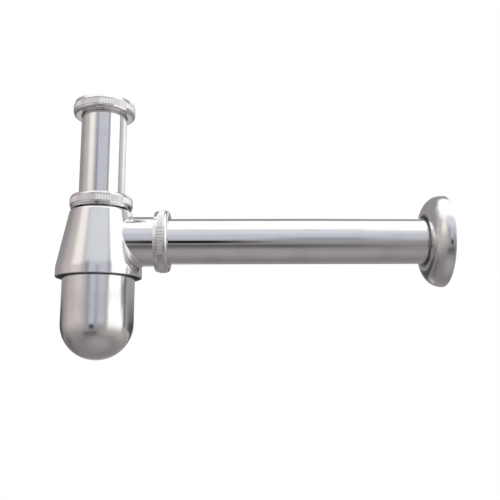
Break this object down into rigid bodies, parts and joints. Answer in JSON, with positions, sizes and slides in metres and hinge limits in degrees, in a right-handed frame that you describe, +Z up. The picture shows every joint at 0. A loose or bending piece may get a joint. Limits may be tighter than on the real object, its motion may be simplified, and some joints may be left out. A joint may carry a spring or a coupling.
{
  "type": "bottle trap",
  "caption": "Bottle trap with telescopic dip tube, bell body, screw-off bowl, side branch, slip nuts, outlet tube and domed wall flange, for the waste of a washbasin.",
  "frame": {"origin": "centre of the inlet nut's mouth, where the basin waste screws in", "axes": "+Z up along the inlet to the basin, +X along the outlet tube to the wall, +Y to the right of that"},
  "size_m": [0.2766, 0.065, 0.1836],
  "materials": {
    "tube_chrome": "polished",
    "body_chrome": "polished",
    "nut_chrome": "polished, knurled band",
    "flange_chrome": "polished sheet",
    "black_rubber": "matt",
    "ring_plastic": "moulded"
  },
  "bodies": {
    "inlet": {"inlet_tube": "tube_chrome", "inlet_washer": "black_rubber"},
    "inlet_nut": {"inlet_nut": "nut_chrome"},
    "body_seal": {"body_cone_seal": "black_rubber"},
    "body": {"trap_body": "body_chrome", "branch_cone_seal": "black_rubber"},
    "body_slip_ring": {"body_slip_ring": "ring_plastic"},
    "body_nut": {"body_nut": "nut_chrome"},
    "bowl_seal": {"bowl_seal": "black_rubber"},
    "bowl": {"bowl": "body_chrome"},
    "branch_slip_ring": {"branch_slip_ring": "ring_plastic"},
    "branch_nut": {"branch_nut": "nut_chrome"},
    "outlet_tube": {"outlet_tube": "tube_chrome"},
    "wall_flange": {"wall_flange": "flange_chrome"}
  },
  "joints": [
    {"name": "inlet_nut_spin", "type": "hinge", "parent": "inlet", "child": "inlet_nut", "pos_m": [0, 0, 0], "axis": [0, 0, 1], "continuous": true},
    {"name": "height_slide", "type": "slide", "parent": "inlet", "child": "body_seal", "axis": [0, 0, 1], "range_m": [-0.03, 0.01]},
    {"name": "body_swivel", "type": "hinge", "parent": "body_seal", "child": "body", "pos_m": [0, 0, -0.1015], "axis": [0, 0, 1], "continuous": true},
    {"name": "body_ring_lift", "type": "slide", "parent": "body", "child": "body_slip_ring", "axis": [0, 0, 1], "range_m": [0, 0.00465]},
    {"name": "body_nut_turn", "type": "hinge", "parent": "body_slip_ring", "child": "body_nut", "pos_m": [0, 0, -0.1015], "axis": [0, 0, 1], "range_deg": [0, 720]},
    {"name": "bowl_drop", "type": "slide", "parent": "body", "child": "bowl_seal", "axis": [0, 0, -1], "range_m": [0, 0.00505]},
    {"name": "bowl_turn", "type": "hinge", "parent": "bowl_seal", "child": "bowl", "pos_m": [0, 0, -0.1015], "axis": [0, 0, -1], "range_deg": [0, 900]},
    {"name": "branch_ring_slide", "type": "slide", "parent": "body", "child": "branch_slip_ring", "axis": [1, 0, 0], "range_m": [0, 0.00465]},
    {"name": "branch_nut_turn", "type": "hinge", "parent": "branch_slip_ring", "child": "branch_nut", "pos_m": [0.04415, 0, -0.1015], "axis": [1, 0, 0], "range_deg": [0, 720]},
    {"name": "outlet_slide", "type": "slide", "parent": "body", "child": "outlet_tube", "axis": [1, 0, 0], "range_m": [-0.012, 0.01]},
    {"name": "flange_slide", "type": "slide", "parent": "outlet_tube", "child": "wall_flange", "axis": [1, 0, 0], "range_m": [-0.155, 0]}
  ],
  "couplings": [
    {"joint": "body_ring_lift", "follows": "body_nut_turn", "m_per_rad": 0.00036749},
    {"joint": "branch_ring_slide", "follows": "branch_nut_turn", "m_per_rad": 0.00036749},
    {"joint": "bowl_drop", "follows": "bowl_turn", "m_per_rad": 0.00031831}
  ]
}
